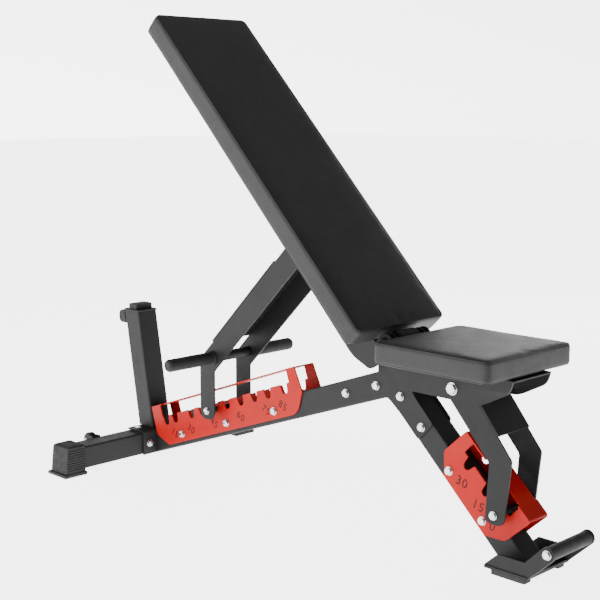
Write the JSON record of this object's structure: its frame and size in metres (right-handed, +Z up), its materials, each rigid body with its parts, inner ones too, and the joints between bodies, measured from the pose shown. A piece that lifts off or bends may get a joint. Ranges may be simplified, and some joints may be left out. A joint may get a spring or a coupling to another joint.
{
  "type": "adjustable weight bench",
  "caption": "Adjustable weight bench with a hinged backrest and seat, each propped by a pinned fork in a notched ladder, on a sloping box-section frame.",
  "frame": {"origin": "centre of the bounding box on the floor, midway between the rearmost and foremost points and on the bench's plane of symmetry", "axes": "+X from the rear foot towards the seat and the front foot, +Y to the left of somebody sitting on the bench and facing +X, +Z up"},
  "size_m": [1.5035, 0.672, 1.1921],
  "materials": {
    "frame_paint": "matt textured powder coat",
    "ladder_red": "satin powder coat",
    "bright_steel": "zinc plated",
    "rubber": "matt",
    "wheel_plastic": "matt",
    "pad_vinyl": "grained vinyl",
    "pad_board": "plywood covered with black felt"
  },
  "bodies": {
    "frame": {"rear_cross_tube": "frame_paint", "rear_foot_cap_left": "rubber", "rear_foot_cap_right": "rubber", "saddle_bracket": "frame_paint", "saddle_top_bolt_left": "bright_steel", "saddle_top_bolt_right": "bright_steel", "saddle_front_bolt_left": "bright_steel", "saddle_front_bolt_right": "bright_steel", "main_beam": "frame_paint", "upright_post": "frame_paint", "post_cap": "rubber", "post_bumper": "rubber", "knee_plate_left": "frame_paint", "knee_plate_right": "frame_paint", "knee_beam_bolt_1": "bright_steel", "knee_beam_bolt_2": "bright_steel", "knee_leg_bolt_1": "bright_steel", "knee_leg_bolt_2": "bright_steel", "front_leg": "frame_paint", "rear_ladder": "ladder_red", "rear_ladder_bolt_1": "bright_steel", "rear_ladder_bolt_2": "bright_steel", "rear_ladder_bolt_3": "bright_steel", "front_ladder": "ladder_red", "front_ladder_bolt_1": "bright_steel", "front_ladder_bolt_2": "bright_steel", "front_foot_bracket": "frame_paint", "front_foot_pad_left": "rubber", "front_foot_pad_right": "rubber", "carry_handle": "rubber", "carry_handle_bolt": "bright_steel", "main_axle": "frame_paint", "wheel_bracket_left": "frame_paint", "wheel_bracket_right": "frame_paint", "wheel_axle_left": "bright_steel", "wheel_axle_right": "bright_steel"},
    "back_sleeve": {"back_pivot_sleeve": "frame_paint"},
    "backrest": {"back_pad": "pad_vinyl", "back_board": "pad_board", "back_channel": "frame_paint"},
    "back_support_pivot": {"back_support_pivot_bolt": "bright_steel"},
    "back_support": {"back_support_arm_left": "frame_paint", "back_support_arm_right": "frame_paint", "back_support_web": "frame_paint", "back_support_bar": "frame_paint", "back_support_grip_left": "rubber", "back_support_grip_right": "rubber", "back_support_pin_left": "bright_steel", "back_support_pin_right": "bright_steel"},
    "seat": {"seat_pad": "pad_vinyl", "seat_board": "pad_board", "seat_channel": "frame_paint"},
    "seat_support": {"seat_support_arm_left": "frame_paint", "seat_support_arm_right": "frame_paint", "seat_support_web": "frame_paint", "seat_support_pin_left": "bright_steel", "seat_support_pin_right": "bright_steel", "seat_support_pivot_bolt": "bright_steel"},
    "wheel_left": {"transport_wheel_left": "wheel_plastic"},
    "wheel_right": {"transport_wheel_right": "wheel_plastic"}
  },
  "joints": [
    {"name": "back_recline", "type": "hinge", "parent": "frame", "child": "back_sleeve", "pos_m": [0.292, 0, 0.4475], "axis": [0, 1, 0], "range_deg": [-45.4, 0]},
    {"name": "back_raise", "type": "hinge", "parent": "back_sleeve", "child": "backrest", "pos_m": [0.292, 0, 0.4475], "axis": [0, 1, 0], "range_deg": [0, 39.16]},
    {"name": "support_recline", "type": "hinge", "parent": "backrest", "child": "back_support_pivot", "pos_m": [0.00338, 0, 0.62945], "axis": [0, 1, 0], "range_deg": [-1, 72.5]},
    {"name": "support_raise", "type": "hinge", "parent": "back_support_pivot", "child": "back_support", "pos_m": [0.00338, 0, 0.62945], "axis": [0, 1, 0], "range_deg": [-49.5, 1]},
    {"name": "seat_tilt", "type": "hinge", "parent": "frame", "child": "seat", "pos_m": [0.292, 0, 0.4475], "axis": [0, -1, 0], "range_deg": [0, 30]},
    {"name": "seat_support_swing", "type": "hinge", "parent": "seat", "child": "seat_support", "pos_m": [0.482, 0, 0.377], "axis": [0, 1, 0], "range_deg": [-1, 51.5]},
    {"name": "wheel_left_spin", "type": "hinge", "parent": "frame", "child": "wheel_left", "pos_m": [-0.674, 0.187, 0.06], "axis": [0, 1, 0], "continuous": true},
    {"name": "wheel_right_spin", "type": "hinge", "parent": "frame", "child": "wheel_right", "pos_m": [-0.674, -0.187, 0.06], "axis": [0, 1, 0], "continuous": true}
  ],
  "couplings": [
    {"joint": "support_recline", "follows": "back_recline", "ratio": -1.5675},
    {"joint": "support_raise", "follows": "back_raise", "ratio": -1.2484},
    {"joint": "seat_support_swing", "follows": "seat_tilt", "ratio": 1.6909}
  ]
}
